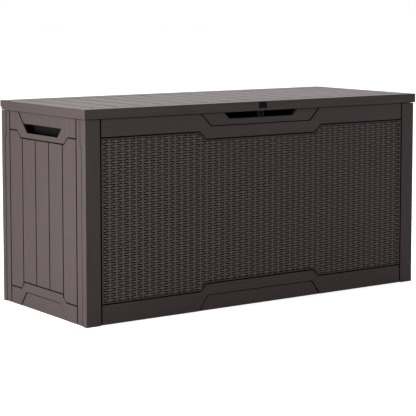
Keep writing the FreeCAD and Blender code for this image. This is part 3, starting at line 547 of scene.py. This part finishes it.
# The grooves, the weave field's floor and the rims seen through the seams get the near-black painted shade.
paint_groove_shade(front, Vector((0, -1, 0)), gap)
back = moulded("back_panel", upright)
paint_groove_shade(back, Vector((0, 1, 0)), gap)
for side, outward in (("left", Vector((-1, 0, 0))), ("right", Vector((1, 0, 0)))):
    panel = moulded("side_panel_" + side, upright, THIN_EDGE_RADIUS,
                    lambda bm: pull_in_skin(bm, outward))
    paint_groove_shade(panel, outward, gap, HAND_RECESS_FOOT)
    moulded("post_front_" + side, upright)
    moulded("post_rear_" + side, upright)
    # The cups of the hand holes are painted near black as shade.
    moulded("handle_cup_" + side, gap)
lid = moulded("lid_shell", boarded, THIN_EDGE_RADIUS)
paint_groove_shade(lid, Vector((0, 0, 1)), gap)
for node in ("lid_liner", "floor_left", "floor_right"):
    moulded(node, inner)

FINISHES = {
    "zinc_steel": zinc("zinc_plate"),
    "black_steel": powder_coat("black_powder_coat"),
    "strut_tube": black_paint("black_satin_paint"),
    "strut_rod": chrome("ground_chrome"),
    "black_nylon": nylon("black_nylon"),
    "badge": badge_finish("badge_satin"),
    "resin_shell": upright,
    "resin_inner": inner,
}
for part in frame["record"]["subparts"]:
    node = frame["nodes"][part["node"]]
    node.data.materials.clear()
    node.data.materials.append(FINISHES[part["material_slot"]])


# ---------------------------------------------------------------- floor, lamps, surroundings and camera
def flat_floor():
    """A large pale floor just under the feet."""
    bm = bmesh.new()
    height = cad_bounds[0].z - FLOOR_GAP
    bm.faces.new([bm.verts.new((x * FLOOR_REACH, y * FLOOR_REACH, height))
                  for x, y in ((-1, -1), (1, -1), (1, 1), (-1, 1))])
    mesh = bpy.data.meshes.new("floor")
    bm.to_mesh(mesh)
    bm.free()
    nodes = Nodes("pale_floor")
    grain = nodes.noise((3.0, 3.0, 3.0), 2.0)
    seen = nodes.add("ShaderNodeLightPath").outputs["Is Camera Ray"]
    pale = nodes.mix(grain, rgb(0.86, 0.86, 0.86), rgb(0.9, 0.9, 0.9))
    nodes.shade(Base_Color=nodes.mix(seen, rgb(0.3, 0.3, 0.3), pale), Roughness=0.9, Specular_IOR_Level=0.1,
                Emission_Color=rgb(1.0, 1.0, 1.0), Emission_Strength=nodes.math("MULTIPLY", seen, FLOOR_GLOW))
    mesh.materials.append(nodes.material)
    floor = bpy.data.objects.new("floor", mesh)
    bpy.context.scene.collection.objects.link(floor)


def soft_box(name, at, target, size, power):
    light = bpy.data.lights.new(name, "AREA")
    light.shape = "RECTANGLE"
    light.size, light.size_y = size
    light.energy = power
    lamp = bpy.data.objects.new(name, light)
    lamp.location = at
    lamp.rotation_euler = (Vector(target) - Vector(at)).to_track_quat("-Z", "Y").to_euler()
    bpy.context.scene.collection.objects.link(lamp)


def studio():
    """White as seen by the camera; it lights the object from the rear and above more than from the front."""
    world = bpy.data.worlds.new("studio")
    bpy.context.scene.world = world
    world.use_nodes = True
    tree = world.node_tree
    output = tree.nodes["World Output"]
    lit = tree.nodes["Background"]
    lit.inputs["Color"].default_value = rgb(1.0, 1.0, 1.0)
    seen = tree.nodes.new("ShaderNodeBackground")
    seen.inputs["Color"].default_value = rgb(1.0, 1.0, 1.0)
    seen.inputs["Strength"].default_value = 1.0
    place = tree.nodes.new("ShaderNodeTexCoord")
    split = tree.nodes.new("ShaderNodeSeparateXYZ")
    tree.links.new(place.outputs["Generated"], split.inputs["Vector"])
    ramp = tree.nodes.new("ShaderNodeMapRange")
    ramp.inputs["From Min"].default_value = -LIGHT_SPREAD
    ramp.inputs["From Max"].default_value = LIGHT_SPREAD
    ramp.inputs["To Min"].default_value = FRONT_LIGHT
    ramp.inputs["To Max"].default_value = REAR_LIGHT
    tree.links.new(split.outputs["Y"], ramp.inputs["Value"])
    tree.links.new(ramp.outputs["Result"], lit.inputs["Strength"])
    rays = tree.nodes.new("ShaderNodeLightPath")
    mix = tree.nodes.new("ShaderNodeMixShader")
    tree.links.new(rays.outputs["Is Camera Ray"], mix.inputs[0])
    tree.links.new(lit.outputs[0], mix.inputs[1])
    tree.links.new(seen.outputs[0], mix.inputs[2])
    tree.links.new(mix.outputs[0], output.inputs["Surface"])


def camera():
    data = bpy.data.cameras.new("camera")
    data.sensor_width = 36.0
    data.lens = CAMERA_LENS
    data.shift_y = CAMERA_SHIFT
    data.clip_end = 100.0
    view = bpy.data.objects.new("camera", data)
    view.location = CAMERA_AT
    view.rotation_euler = (math.pi / 2 - CAMERA_PITCH, 0.0, -CAMERA_YAW)
    bpy.context.scene.collection.objects.link(view)
    bpy.context.scene.camera = view


flat_floor()
studio()
for lamp in LAMPS:
    soft_box(*lamp)
camera()
bpy.context.scene.view_settings.view_transform = "Standard"
